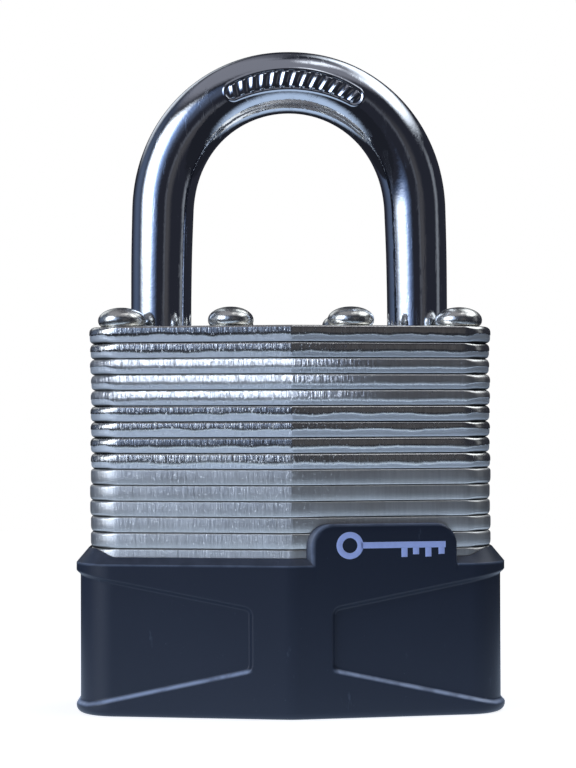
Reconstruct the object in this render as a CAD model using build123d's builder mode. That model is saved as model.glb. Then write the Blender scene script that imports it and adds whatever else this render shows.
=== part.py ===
from build123d import *
from math import radians, sqrt, tan
import os

# Laminated padlock. Origin at the centre of its base, +Z up along the shackle, -Y is the front.
# It is modelled closed, with the key turned, so that the dogs are drawn in.

# plates
plate_count = 24
plate_width = 48.9
plate_depth = 25.0
plate_thickness = 1.9
top_plate_thickness = 2.0
top_plate_overhang = 0.12
flank_angle = 9.0
plate_corner_radius = 4.5
end_corner_share = 0.9
plate_edge_break = 0.25

# layers of the stack, counted from the top plate, which is 1
first_dog_layer = 4
last_dog_layer = 6
cam_layer = 7
toe_floor_layer = 8
spindle_layer = 9
clip_layer = 10
retainer_layer = 13

# shackle
rod_radius = 3.75
leg_spacing = 32.0
shackle_clearance = 27.2
toe_floor_gap = 0.7
toe_chamfer = 0.8
release_gap = 1.4
heel_neck_radius = 2.2
heel_foot_radius = 3.55
heel_foot_gap = 0.1
neck_margin = 1.0
washer_margin = 1.65
notch_gap = 0.25

# rivets
rivet_shank_radius = 1.9
rivet_head_radius = 2.85
rivet_head_height = 2.4
rivet_dome_radius = 1.7
rivet_countersink = 0.9
end_rivet_x = 20.5
end_rivet_y = 6.2
middle_rivet_x = 7.25
middle_rivet_y = 8.3

# bumper
bumper_floor = 1.05
bumper_end_wall = 1.7
bumper_face_wall = 0.9
bumper_rim = 18.2
bumper_bevel = 0.8
bumper_corner_radius = 5.4
bumper_bottom_radius = 1.6
key_window_lip = 0.3
recess_depth = 0.5
recess_inner_x = 4.65
recess_inner_bottom = 5.9
recess_inner_top = 13.3
recess_outer_bottom = 1.9
recess_outer_top = 17.0
recess_corner_radius = 1.0
tab_start = 2.5
tab_end = 20.0
tab_top = 23.1
tab_corner_radius = 2.6

# lock cylinder
plug_radius = 5.5
plug_face = 1.6
plug_end = 1.3
housing_wall = 1.5
bible_half_width = 2.4
bible_reach = 11.0
keyway_width = 1.4
keyway_below = 4.6
keyway_above = 2.4
ward_width = 1.2
ward_depth = 0.45
keyway_stop = 3.0
clip_reach = 0.8
clip_thickness = 0.5
clip_groove_depth = 0.8
clip_opening = 70.0

# pins and their springs
pin_pitch = 4.0
pin_radius = 1.4
key_pin_lengths = [2.9, 3.5, 3.2, 2.6]
driver_pin_lengths = [2.2, 2.5, 2.0, 2.4]
key_pin_end = 0.25
key_pin_point = 0.7
pin_hole_floor = 0.2
pin_end_chamfer = 0.25
cover_thickness = 0.6
cover_half_width = 1.75
cover_end_margin = 1.2
pin_spring_wire = 0.26
pin_spring_turns = 4

# cam and dogs
dog_travel = 1.6
dog_width = 8.0
dog_inner_x = 4.5
dog_arm_width = 2.8
dog_arm_overhang = 1.0
dog_arm_share = 0.46
dog_end_gap = 0.15
cam_disc_radius = 3.2
spindle_radius = 1.8
tang_length = 3.0
tang_width = 1.6
tang_reach = 2.6
crank_pin_radius = 0.6
crank_pin_gap = 0.12
dog_spring_radius = 1.0
dog_spring_wire = 0.35
dog_spring_turns = 8
dog_spring_pocket = 2.0

# clearances
running_gap = 0.1
plug_gap = 0.08
pin_gap = 0.06
seat_gap = 0.05
spring_end_gap = 0.03

cut_margin = 1.0
edge_pick_gap = 0.01

pin_count = len(key_pin_lengths)
housing_radius = plug_radius + housing_wall
clip_radius = plug_radius + clip_reach
stand = (Align.CENTER, Align.CENTER, Align.MIN)


def plate_bottom(layer):
    return bumper_floor + (plate_count - layer) * plate_thickness


def plate_top(layer):
    if layer == 1:
        return plate_bottom(1) + top_plate_thickness
    return plate_bottom(layer) + plate_thickness


def lock_outline(width, depth, corner_radius):
    # A long hexagon: a ridge at the middle of each face, flanks that fall back from it,
    # and two straight ends with rounded corners.
    end_y = depth / 2 - width / 2 * tan(radians(flank_angle))
    with BuildSketch() as outline:
        Polygon(
            (0, -depth / 2),
            (width / 2, -end_y),
            (width / 2, end_y),
            (0, depth / 2),
            (-width / 2, end_y),
            (-width / 2, -end_y),
            align=None,
        )
        ends = outline.vertices().filter_by(lambda v: abs(v.X) > width / 4)
        fillet(ends, min(corner_radius, end_corner_share * end_y))
    return outline.sketch


def export_piece(piece, name):
    piece.part.label = name
    export_step(piece.part, f"parts/{name}.step")


os.makedirs("parts", exist_ok=True)

body_top = plate_top(1)
leg_x = leg_spacing / 2
leg_hole_radius = rod_radius + running_gap
arch_z = body_top + shackle_clearance - (leg_x - rod_radius)
toe_bottom = plate_bottom(toe_floor_layer) + toe_floor_gap
lift = body_top - toe_bottom + release_gap
chamber_bottom = plate_bottom(last_dog_layer)
chamber_top = plate_top(first_dog_layer)
dog_outer_x = leg_x - rod_radius - dog_end_gap
dog_thrown_x = dog_outer_x + dog_travel
cylinder_bottom = plate_top(plate_count)
cylinder_top = plate_bottom(clip_layer)
bore_radius = plug_radius + plug_gap
window_radius = plug_radius + running_gap
rivet_places = [
    (sx * x, sy * y)
    for x, y in ((end_rivet_x, end_rivet_y), (middle_rivet_x, middle_rivet_y))
    for sx in (-1, 1)
    for sy in (-1, 1)
]
pin_heights = [
    (cylinder_bottom + cylinder_top) / 2 + pin_pitch * (i - (pin_count - 1) / 2)
    for i in range(pin_count)
]
plate_outline = lock_outline(plate_width, plate_depth, plate_corner_radius)
top_outline = lock_outline(
    plate_width + 2 * top_plate_overhang,
    plate_depth + 2 * top_plate_overhang,
    plate_corner_radius,
)
washer_radius = heel_foot_radius + washer_margin


# Plates: every one is the same stamping with the holes that its layer needs.
def plate_name(layer):
    if layer == 1:
        return "top_plate"
    if layer == plate_count:
        return "bottom_plate"
    if layer < first_dog_layer:
        return f"guide_plate_{layer:02d}"
    if layer <= last_dog_layer:
        return f"dog_plate_{layer:02d}"
    if layer == cam_layer:
        return f"cam_plate_{layer:02d}"
    if layer <= spindle_layer:
        return f"spindle_plate_{layer:02d}"
    if layer == clip_layer:
        return f"clip_plate_{layer:02d}"
    if layer == retainer_layer:
        return f"retainer_plate_{layer:02d}"
    return f"cylinder_plate_{layer:02d}"


def cut_leg_holes(layer):
    if layer <= toe_floor_layer:
        with Locations((-leg_x, 0)):
            Circle(leg_hole_radius, mode=Mode.SUBTRACT)
    if layer < plate_count:
        radius = washer_radius + seat_gap if layer == retainer_layer else leg_hole_radius
        with Locations((leg_x, 0)):
            Circle(radius, mode=Mode.SUBTRACT)


def cut_works_opening(layer):
    if first_dog_layer <= layer <= last_dog_layer:
        Rectangle(
            2 * (dog_thrown_x + 2 * running_gap),
            dog_width + 2 * running_gap,
            mode=Mode.SUBTRACT,
        )
    elif layer == cam_layer:
        Circle(cam_disc_radius + running_gap, mode=Mode.SUBTRACT)
    elif cam_layer < layer <= spindle_layer:
        Circle(spindle_radius + running_gap, mode=Mode.SUBTRACT)
    elif layer == clip_layer:
        Circle(clip_radius + running_gap, mode=Mode.SUBTRACT)
    elif clip_layer < layer < plate_count:
        Circle(housing_radius + seat_gap, mode=Mode.SUBTRACT)
        Rectangle(
            2 * (bible_half_width + seat_gap),
            bible_reach + seat_gap,
            align=(Align.CENTER, Align.MIN),
            mode=Mode.SUBTRACT,
        )
    elif layer == plate_count:
        Circle(window_radius, mode=Mode.SUBTRACT)


def make_plate(layer):
    with BuildPart() as plate:
        with BuildSketch(Plane.XY.offset(plate_bottom(layer))):
            add(top_outline if layer == 1 else plate_outline)
            cut_leg_holes(layer)
            cut_works_opening(layer)
            with Locations(*rivet_places):
                Circle(rivet_shank_radius + seat_gap, mode=Mode.SUBTRACT)
        extrude(amount=plate_top(layer) - plate_bottom(layer))
        chamfer(plate.faces().sort_by(Axis.Z)[-1].outer_wire().edges(), plate_edge_break)
        if layer == plate_count:
            with Locations(*[(x, y, plate_bottom(layer)) for x, y in rivet_places]):
                Cone(
                    rivet_shank_radius + rivet_countersink + seat_gap,
                    rivet_shank_radius + seat_gap,
                    rivet_countersink,
                    align=stand,
                    mode=Mode.SUBTRACT,
                )
    return plate


for layer in range(1, plate_count + 1):
    export_piece(make_plate(layer), plate_name(layer))


# Shackle: a bent rod with a short toe and a long heel. Both legs have a notch for a dog,
# and the heel is turned down to a neck, with a foot that stops against the washer.
notch_x = dog_thrown_x + notch_gap
foot_top = plate_bottom(retainer_layer) - lift - seat_gap
foot_bottom = cylinder_bottom + heel_foot_gap
neck_top = max(chamber_top - lift, plate_top(retainer_layer)) + neck_margin
with BuildPart() as shackle:
    with BuildLine(Plane.XZ) as rod_path:
        heel = Line((leg_x, neck_top), (leg_x, arch_z))
        arch = CenterArc((0, arch_z), leg_x, 0, 180)
        toe = Line((-leg_x, arch_z), (-leg_x, toe_bottom))
    with BuildSketch(Plane.XY.offset(neck_top)):
        with Locations((leg_x, 0)):
            Circle(rod_radius)
    sweep(path=rod_path.line)
    with Locations((leg_x, 0, foot_bottom)):
        Cylinder(heel_neck_radius, neck_top - foot_bottom, align=stand)
        Cylinder(heel_foot_radius, foot_top - foot_bottom, align=stand)
    toe_rim = shackle.edges().filter_by_position(
        Axis.Z, toe_bottom - edge_pick_gap, toe_bottom + edge_pick_gap
    )
    chamfer(toe_rim, toe_chamfer)
    for side in (-1, 1):
        with Locations((side * notch_x, 0, chamber_bottom - running_gap)):
            Box(
                2 * rod_radius,
                2 * rod_radius + cut_margin,
                chamber_top - chamber_bottom + 2 * running_gap,
                align=(Align.MAX if side > 0 else Align.MIN, Align.CENTER, Align.MIN),
                mode=Mode.SUBTRACT,
            )
export_piece(shackle, "shackle")

# Washer: slipped round the neck from the side before the plate above goes on.
with BuildPart() as heel_washer:
    with BuildSketch(Plane.XY.offset(plate_bottom(retainer_layer))):
        with Locations((leg_x, 0)):
            Circle(washer_radius)
            Circle(heel_neck_radius + running_gap, mode=Mode.SUBTRACT)
            Rectangle(
                washer_radius + cut_margin,
                2 * (heel_neck_radius + running_gap),
                align=(Align.MAX, Align.CENTER),
                mode=Mode.SUBTRACT,
            )
    extrude(amount=plate_thickness)
export_piece(heel_washer, "heel_retaining_washer")

# Rivets: a domed head on the top plate and a tail set into the bottom plate.
tail_z = plate_bottom(plate_count)
with BuildPart() as rivet:
    with Locations((0, 0, body_top)):
        Cylinder(rivet_head_radius, rivet_head_height, align=stand)
    fillet(rivet.edges().sort_by(Axis.Z)[-1], rivet_dome_radius)
    with Locations((0, 0, tail_z)):
        Cylinder(rivet_shank_radius, body_top - tail_z, align=stand)
        Cone(
            rivet_shank_radius + rivet_countersink,
            rivet_shank_radius,
            rivet_countersink,
            align=stand,
        )
with BuildPart() as rivets:
    with Locations(*rivet_places):
        add(rivet.part)
export_piece(rivets, "rivets")


# Bumper: a cup that the stack sits in, with a bow-tie relief cut into each side,
# a bevelled rim and a tab that stands up on the right of the front.
bumper_width = plate_width + 2 * bumper_end_wall
bumper_depth = plate_depth + 2 * bumper_face_wall
bumper_outline = lock_outline(bumper_width, bumper_depth, bumper_corner_radius)
recess_outline = lock_outline(
    bumper_width - 2 * recess_depth,
    bumper_depth - 2 * recess_depth,
    bumper_corner_radius - recess_depth,
)
cavity_outline = lock_outline(
    plate_width + 2 * seat_gap, plate_depth + 2 * seat_gap, plate_corner_radius + seat_gap
)
with BuildPart() as relief:
    with BuildSketch():
        add(bumper_outline)
        add(recess_outline, mode=Mode.SUBTRACT)
    extrude(amount=bumper_rim)
    with BuildSketch(Plane.XZ) as relief_shape:
        Polygon(
            (recess_inner_x, recess_inner_bottom),
            (bumper_width / 2 + cut_margin, recess_outer_bottom),
            (bumper_width / 2 + cut_margin, recess_outer_top),
            (recess_inner_x, recess_inner_top),
            align=None,
        )
        fillet(relief_shape.vertices().group_by(Axis.X)[0], recess_corner_radius)
        mirror(about=Plane.YZ)
    extrude(amount=bumper_depth, both=True, mode=Mode.INTERSECT)

with BuildPart() as tab:
    with BuildSketch():
        add(bumper_outline)
    extrude(amount=tab_top)
    with BuildSketch(Plane.XZ) as tab_shape:
        Polygon(
            (tab_start, bumper_rim - cut_margin),
            (tab_end, bumper_rim - cut_margin),
            (tab_end, tab_top),
            (tab_start, tab_top),
            align=None,
        )
        fillet(tab_shape.vertices().group_by(Axis.Y)[-1], tab_corner_radius)
    extrude(amount=bumper_depth, mode=Mode.INTERSECT)

with BuildPart() as bumper:
    with BuildSketch():
        add(bumper_outline)
    extrude(amount=bumper_rim)
    fillet(bumper.faces().sort_by(Axis.Z)[0].edges(), bumper_bottom_radius)
    extrude(bumper.faces().sort_by(Axis.Z)[-1], amount=bumper_bevel, taper=45)
    add(relief.part, mode=Mode.SUBTRACT)
    add(tab.part)
    with BuildSketch(Plane.XY.offset(bumper_floor)):
        add(cavity_outline)
    extrude(amount=tab_top, mode=Mode.SUBTRACT)
    Cylinder(plug_radius - key_window_lip, bumper_floor, align=stand, mode=Mode.SUBTRACT)
export_piece(bumper, "bumper")


# Lock cylinder: a housing with a bible of pin chambers to the rear.
chamber_mouth = bible_reach - cover_thickness
cover_half_height = (pin_count - 1) / 2 * pin_pitch + pin_radius + cover_end_margin
cylinder_middle = (cylinder_bottom + cylinder_top) / 2
with BuildPart() as cylinder_housing:
    with BuildSketch(Plane.XY.offset(cylinder_bottom)):
        Circle(housing_radius)
        Rectangle(2 * bible_half_width, bible_reach, align=(Align.CENTER, Align.MIN))
        Circle(bore_radius, mode=Mode.SUBTRACT)
    extrude(amount=cylinder_top - cylinder_bottom)
    for height in pin_heights:
        with BuildSketch(Plane.XZ):
            with Locations((0, height)):
                Circle(pin_radius + pin_gap)
        extrude(amount=-bible_reach, mode=Mode.SUBTRACT)
    with Locations((0, chamber_mouth, cylinder_middle)):
        Box(
            2 * (cover_half_width + seat_gap),
            2 * cover_thickness,
            2 * (cover_half_height + seat_gap),
            align=(Align.CENTER, Align.MIN, Align.CENTER),
            mode=Mode.SUBTRACT,
        )
export_piece(cylinder_housing, "cylinder_housing")

with BuildPart() as pin_chamber_cover:
    with Locations((0, chamber_mouth, cylinder_middle)):
        Box(
            2 * cover_half_width,
            cover_thickness,
            2 * cover_half_height,
            align=(Align.CENTER, Align.MIN, Align.CENTER),
        )
export_piece(pin_chamber_cover, "pin_chamber_cover")

# Plug: turned a quarter from the pin chambers, so its own pin holes point to -X
# and the keyway lies along X.
plug_top = cylinder_top + plug_end
clip_bottom = cylinder_top + seat_gap
with BuildPart() as plug:
    with Locations((0, 0, plug_face)):
        Cylinder(plug_radius, plug_top - plug_face, align=stand)
    with BuildSketch(Plane.XY.offset(plug_face)):
        with Locations((keyway_below, 0)):
            Rectangle(keyway_below + keyway_above, keyway_width, align=(Align.MAX, Align.CENTER))
        with Locations((keyway_below / 2, keyway_width / 2)):
            Rectangle(ward_width, ward_depth, align=(Align.CENTER, Align.MIN))
    extrude(amount=plug_top - keyway_stop - tang_reach - plug_face, mode=Mode.SUBTRACT)
    for height in pin_heights:
        with BuildSketch(Plane.YZ):
            with Locations((0, height)):
                Circle(pin_radius + pin_gap)
        extrude(amount=-plug_radius, mode=Mode.SUBTRACT)
    with BuildSketch(Plane.XY.offset(clip_bottom)):
        Circle(plug_radius)
        Circle(plug_radius - clip_groove_depth, mode=Mode.SUBTRACT)
    extrude(amount=clip_thickness + seat_gap, mode=Mode.SUBTRACT)
    with Locations((0, 0, plug_top)):
        Box(
            tang_length + 2 * seat_gap,
            tang_width + 2 * seat_gap,
            2 * tang_reach,
            mode=Mode.SUBTRACT,
        )
export_piece(plug, "plug")

with BuildPart() as plug_clip:
    with BuildSketch(Plane.XY.offset(clip_bottom)):
        Circle(clip_radius)
        Circle(plug_radius - clip_groove_depth + seat_gap, mode=Mode.SUBTRACT)
        mouth = 2 * clip_radius * tan(radians(clip_opening / 2))
        Polygon((0, 0), (2 * clip_radius, -mouth), (2 * clip_radius, mouth), align=None,
                mode=Mode.SUBTRACT)
    extrude(amount=clip_thickness)
export_piece(plug_clip, "plug_retaining_clip")

# Cam: its tang drives it from the plug, and its two crank pins draw the dogs in.
crank = dog_travel / 2
arm_z = chamber_bottom + running_gap
arm_height = dog_arm_share * (chamber_top - chamber_bottom)
disc_bottom = plate_bottom(cam_layer) + seat_gap
disc_top = plate_top(cam_layer) - seat_gap
with BuildPart() as cam:
    with Locations((0, 0, plug_top - tang_reach + seat_gap)):
        Box(tang_length, tang_width, tang_reach, align=stand)
    with Locations((0, 0, plug_top)):
        Cylinder(spindle_radius, disc_bottom - plug_top, align=stand)
    with Locations((0, 0, disc_bottom)):
        Cylinder(cam_disc_radius, disc_top - disc_bottom, align=stand)
    with Locations((-crank, crank, disc_top), (crank, -crank, disc_top)):
        Cylinder(crank_pin_radius, arm_z + arm_height - disc_top, align=stand)
export_piece(cam, "cam")


# Dogs: a block that enters the shackle's notch, with a slotted arm under the spring.
spring_z = arm_z + arm_height + (chamber_top - running_gap - arm_z - arm_height) / 2
slot_half_width = crank_pin_radius + crank_pin_gap
arm_end_x = -crank - slot_half_width - dog_arm_overhang
slot_reach = sqrt(2) * crank + crank_pin_radius + crank_pin_gap
with BuildPart() as dog:
    with BuildSketch(Plane.XY.offset(arm_z)):
        with Locations((dog_inner_x, 0)):
            Rectangle(dog_outer_x - dog_inner_x, dog_width, align=(Align.MIN, Align.CENTER))
    extrude(amount=chamber_top - chamber_bottom - 2 * running_gap)
    with BuildSketch(Plane.XY.offset(arm_z)):
        with Locations((arm_end_x, running_gap)):
            Rectangle(
                dog_inner_x - arm_end_x, dog_arm_width, align=(Align.MIN, Align.MIN)
            )
        with Locations((-crank, 0)):
            Rectangle(
                2 * slot_half_width,
                slot_reach,
                align=(Align.CENTER, Align.MIN),
                mode=Mode.SUBTRACT,
            )
    extrude(amount=arm_height)
    with BuildSketch(Plane.YZ.offset(dog_inner_x)):
        with Locations((0, spring_z)):
            Circle(dog_spring_radius + running_gap)
    extrude(amount=dog_spring_pocket, mode=Mode.SUBTRACT)
export_piece(dog, "right_dog")

with BuildPart() as left_dog:
    with Locations(Location((0, 0, 0), (0, 0, 180))):
        add(dog.part)
export_piece(left_dog, "left_dog")


def coil_spring(start, axis, length, radius, wire, turns):
    # A wire wound as a helix about the axis, its ends a wire's radius inside the length.
    wound = length - wire
    first = Vector(*start) + Vector(*axis) * (wire / 2)
    with BuildPart() as spring:
        with BuildLine() as coil:
            Helix(
                pitch=wound / turns,
                height=wound,
                radius=radius - wire / 2,
                center=first,
                direction=axis,
            )
        with BuildSketch(Plane(origin=coil.line @ 0, z_dir=coil.line % 0)):
            Circle(wire / 2)
        sweep(path=coil.line, is_frenet=True)
    return spring


spring_half_length = dog_inner_x + dog_spring_pocket - spring_end_gap
dog_spring = coil_spring(
    (-spring_half_length, 0, spring_z),
    (1, 0, 0),
    2 * spring_half_length,
    dog_spring_radius,
    dog_spring_wire,
    dog_spring_turns,
)
export_piece(dog_spring, "dog_spring")

# Pins: the key pins stand at the plug's surface, in the plug's own holes, and the driver pins
# stand behind them at the bore of the housing, each with its spring.
driver_start = bore_radius + seat_gap
for number, height in enumerate(pin_heights, start=1):
    key_pin_length = key_pin_lengths[number - 1]
    driver_pin_length = driver_pin_lengths[number - 1]
    pin_outer = plug_radius - key_pin_end
    with BuildPart(Plane((-pin_outer, 0, height), x_dir=(0, 1, 0), z_dir=(1, 0, 0))) as key_pin:
        Cylinder(pin_radius, key_pin_length, align=stand)
        ends = key_pin.edges().filter_by(GeomType.CIRCLE).sort_by(Axis.X)
        chamfer(ends[0], pin_end_chamfer)
        chamfer(ends[-1], key_pin_point)
    export_piece(key_pin, f"key_pin_{number}")
    with BuildPart(Plane((0, driver_start, height), x_dir=(1, 0, 0), z_dir=(0, 1, 0))) as driver:
        Cylinder(pin_radius, driver_pin_length, align=stand)
        chamfer(driver.edges().filter_by(GeomType.CIRCLE), pin_end_chamfer)
    export_piece(driver, f"driver_pin_{number}")
    spring_start = driver_start + driver_pin_length + spring_end_gap
    pin_spring = coil_spring(
        (0, spring_start, height),
        (0, 1, 0),
        chamber_mouth - spring_end_gap - spring_start,
        pin_radius - pin_end_chamfer,
        pin_spring_wire,
        pin_spring_turns,
    )
    export_piece(pin_spring, f"pin_spring_{number}")

print(f"shackle lift {lift:.2f}, body top {body_top:.2f}, toe bottom {toe_bottom:.2f}")
print(f"foot {foot_bottom:.2f} to {foot_top:.2f}, neck top {neck_top:.2f}")
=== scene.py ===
import math
import bmesh
import bpy
import numpy as np
from mathutils import Matrix, Vector


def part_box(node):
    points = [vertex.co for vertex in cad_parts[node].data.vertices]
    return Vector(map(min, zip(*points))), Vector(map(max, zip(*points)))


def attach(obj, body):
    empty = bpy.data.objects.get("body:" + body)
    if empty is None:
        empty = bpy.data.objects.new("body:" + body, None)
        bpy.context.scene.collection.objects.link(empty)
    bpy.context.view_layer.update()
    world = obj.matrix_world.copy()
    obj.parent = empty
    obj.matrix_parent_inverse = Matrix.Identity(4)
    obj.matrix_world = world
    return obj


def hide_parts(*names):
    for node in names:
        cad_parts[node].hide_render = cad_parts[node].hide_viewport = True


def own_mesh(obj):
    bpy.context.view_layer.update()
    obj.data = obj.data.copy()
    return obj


# Laminated padlock. Sizes in the dictionaries are millimetres, and a mesh is written in metres.

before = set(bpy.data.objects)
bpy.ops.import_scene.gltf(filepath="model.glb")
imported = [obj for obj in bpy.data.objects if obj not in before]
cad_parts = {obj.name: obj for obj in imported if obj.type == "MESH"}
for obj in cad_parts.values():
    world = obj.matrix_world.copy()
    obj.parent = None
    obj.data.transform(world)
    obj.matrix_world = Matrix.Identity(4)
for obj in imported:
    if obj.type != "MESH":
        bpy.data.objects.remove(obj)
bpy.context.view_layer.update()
mm = 0.001


def smooth(t):  # 0 below 0, 1 above 1, and 3t^2 - 2t^3 between them
    t = np.clip(t, 0, 1)
    return t * t * (3 - 2 * t)


def mix(a, b, t):  # a at t = 0, b at t = 1
    return a + (b - a) * t


def ripple(turn, seed, lowest, highest, slope):
    # Sum of waves with whole numbers of turns from lowest to highest round a closed line,
    # each weighted by its number to the power -slope, scaled to a standard deviation of 1.
    rng = np.random.default_rng(seed)
    number = np.arange(lowest, highest + 1)
    phase = rng.uniform(0, 2 * math.pi, len(number))
    size = rng.normal(1, 0.3, len(number)) * number ** -float(slope)
    wave = (size * np.cos(2 * math.pi * turn[:, None] * number + phase)).sum(1)
    return wave / wave.std()


def gridQuads(rows, columns, closeRows=False, closeColumns=True, first=0):
    # One quad between each two neighbouring rows and columns, outwards where the columns
    # run anticlockwise from above and the rows run up.
    r = np.arange(rows if closeRows else rows - 1)[:, None]
    c = np.arange(columns if closeColumns else columns - 1)[None, :]
    nextRow, nextColumn = (r + 1) % rows, (c + 1) % columns
    corners = [r * columns + c, r * columns + nextColumn,
               nextRow * columns + nextColumn, nextRow * columns + c]
    return np.stack(corners, -1).reshape(-1, 4) + first


def fan(ring, centre, upwards):
    # Triangles from a ring of points to one point in its middle.
    after = np.roll(ring, -1)
    pair = (ring, after) if upwards else (after, ring)
    return np.stack([pair[0], pair[1], np.full(len(ring), centre)], -1)


def putMesh(name, points, quads, triangles=None, fields=None, crease=40.0):
    # points in millimetres; fields are named numbers, one for each point.
    mesh = bpy.data.meshes.new(name)
    loops, sizes = quads.ravel(), np.full(len(quads), 4)
    if triangles is not None:
        loops = np.concatenate([loops, triangles.ravel()])
        sizes = np.concatenate([sizes, np.full(len(triangles), 3)])
    mesh.vertices.add(len(points))
    mesh.vertices.foreach_set("co", (points * mm).astype(np.float32).ravel())
    mesh.loops.add(len(loops))
    mesh.loops.foreach_set("vertex_index", loops.astype(np.int32))
    mesh.polygons.add(len(sizes))
    starts = np.concatenate([[0], np.cumsum(sizes)[:-1]])
    mesh.polygons.foreach_set("loop_start", starts.astype(np.int32))
    for field, values in (fields or {}).items():
        layer = mesh.attributes.new(field, "FLOAT", "POINT")
        layer.data.foreach_set("value", values.astype(np.float32).ravel())
    mesh.update(calc_edges=True)
    mesh.shade_smooth()
    mesh.set_sharp_from_angle(angle=math.radians(crease))
    piece = bpy.data.objects.new(name, mesh)
    bpy.context.scene.collection.objects.link(piece)
    return piece


def closedTube(rings, first=0):
    # A tube through rings of points, rows by columns by 3, with a fan over each end.
    rows, columns = rings.shape[:2]
    points = np.concatenate([rings.reshape(-1, 3), rings[:1].mean(1), rings[-1:].mean(1)])
    low = fan(np.arange(columns), rows * columns, False)
    high = fan(np.arange(columns) + (rows - 1) * columns, rows * columns + 1, True)
    return points, gridQuads(rows, columns, first=first), np.concatenate([low, high]) + first


def joinSolids(name, solids, fields=None, crease=40.0):
    # Several closed tubes as one mesh.
    points, quads, triangles, count = [], [], [], 0
    for rings in solids:
        p, q, t = closedTube(rings, count)
        points.append(p)
        quads.append(q)
        triangles.append(t)
        count += len(p)
    return putMesh(name, np.concatenate(points), np.concatenate(quads),
                   np.concatenate(triangles), fields, crease)


lock = dict(
    plates=24, thickness=1.9, topThickness=2.0, floor=1.05,
    width=48.9, depth=25.0, flankAngle=9.0, corner=4.5, ridge=0.8, topOverhang=0.12,
)


def lockOutline(width, depth, corner, ridge):
    # A long hexagon walked anticlockwise from the middle of its front ridge: ridge arc, flank,
    # corner arc, end, corner arc, flank, ridge arc, and so on. The parameter's whole part is
    # the stretch and its fraction is the share of that stretch.
    flank = math.radians(lock["flankAngle"])
    bend = math.pi / 2 - flank
    endHalf = depth / 2 - width / 2 * math.tan(flank)
    ridgeTangent = ridge * math.tan(flank)
    cornerTangent = corner * math.tan(bend / 2)
    flankLength = width / 2 / math.cos(flank) - ridgeTangent - cornerTangent
    endLength = 2 * endHalf - 2 * cornerTangent
    quarter = [(flank * ridge, 1 / ridge), (flankLength, 0), (bend * corner, 1 / corner),
               (endLength, 0), (bend * corner, 1 / corner), (flankLength, 0),
               (flank * ridge, 1 / ridge)]
    stretches = np.array(quarter + quarter)
    length, curve = stretches.T
    heading = np.concatenate([[0], np.cumsum(length * curve)])
    sag = ridge * (1 / math.cos(flank) - 1)

    def travel(start, turnRate, run):  # position change along a line or an arc
        bent = np.abs(turnRate) > 0
        rate = np.where(bent, turnRate, 1)
        dx = np.where(bent, (np.sin(start + rate * run) - np.sin(start)) / rate,
                      run * np.cos(start))
        dy = np.where(bent, (np.cos(start) - np.cos(start + rate * run)) / rate,
                      run * np.sin(start))
        return np.stack([dx, dy], -1)

    steps = travel(heading[:-1], curve, length)
    corners = np.concatenate([[[0, 0]], np.cumsum(steps, 0)]) + [0, -depth / 2 + sag]

    def at(parameter):
        index = np.clip(parameter.astype(int), 0, len(length) - 1)
        run = (parameter - index) * length[index]
        angle = heading[index] + curve[index] * run
        place = corners[index] + travel(heading[index], curve[index], run)
        return place, np.stack([np.sin(angle), -np.cos(angle)], -1)

    at.flankStart = corners[1][0]
    at.flankRun = corners[2][0] - corners[1][0]
    return at


def spread(counts):  # parameter values, with so many columns in each stretch of the outline
    return np.concatenate([i + np.arange(n) / n for i, n in enumerate(counts)])


def atX(outline, x, front=True, right=True):  # parameter of a point on a flank, from its x
    share = (np.abs(x) - outline.flankStart) / outline.flankRun
    stretch = {(True, True): 1, (False, True): 5, (False, False): 8, (True, False): 12}
    start = stretch[(front, right)]
    return start + (share if start in (1, 8) else 1 - share)


def plateBottom(layer):  # the stack stands on the floor of the cup, and layer 1 is on top
    return lock["floor"] + (lock["plates"] - layer) * lock["thickness"]


def plateTop(layer):
    return plateBottom(layer) + (lock["topThickness"] if layer == 1 else lock["thickness"])


view = dict(
    distance=240.0, height=36.3, aim=39.9, across=-0.19, yaw=1.2, roll=-0.15, lens=90.0,
)


def makeCamera():
    # On a circle about the lock, turned by yaw from straight ahead, and rolled by a hair.
    data = bpy.data.cameras.new("camera")
    data.lens = view["lens"]
    camera = bpy.data.objects.new("camera", data)
    bpy.context.scene.collection.objects.link(camera)
    yaw = math.radians(view["yaw"])
    side = Vector((math.cos(yaw), -math.sin(yaw), 0)) * view["across"]
    place = Vector((-math.sin(yaw), -math.cos(yaw), 0)) * view["distance"] + side
    place.z = view["height"]
    aim = side.copy()
    aim.z = view["aim"]
    turned = (aim - place).to_track_quat("-Z", "Y").to_matrix().to_4x4()
    roll = Matrix.Rotation(math.radians(view["roll"]), 4, "Z")
    camera.matrix_world = Matrix.Translation(place * mm) @ turned @ roll
    bpy.context.scene.camera = camera


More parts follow.
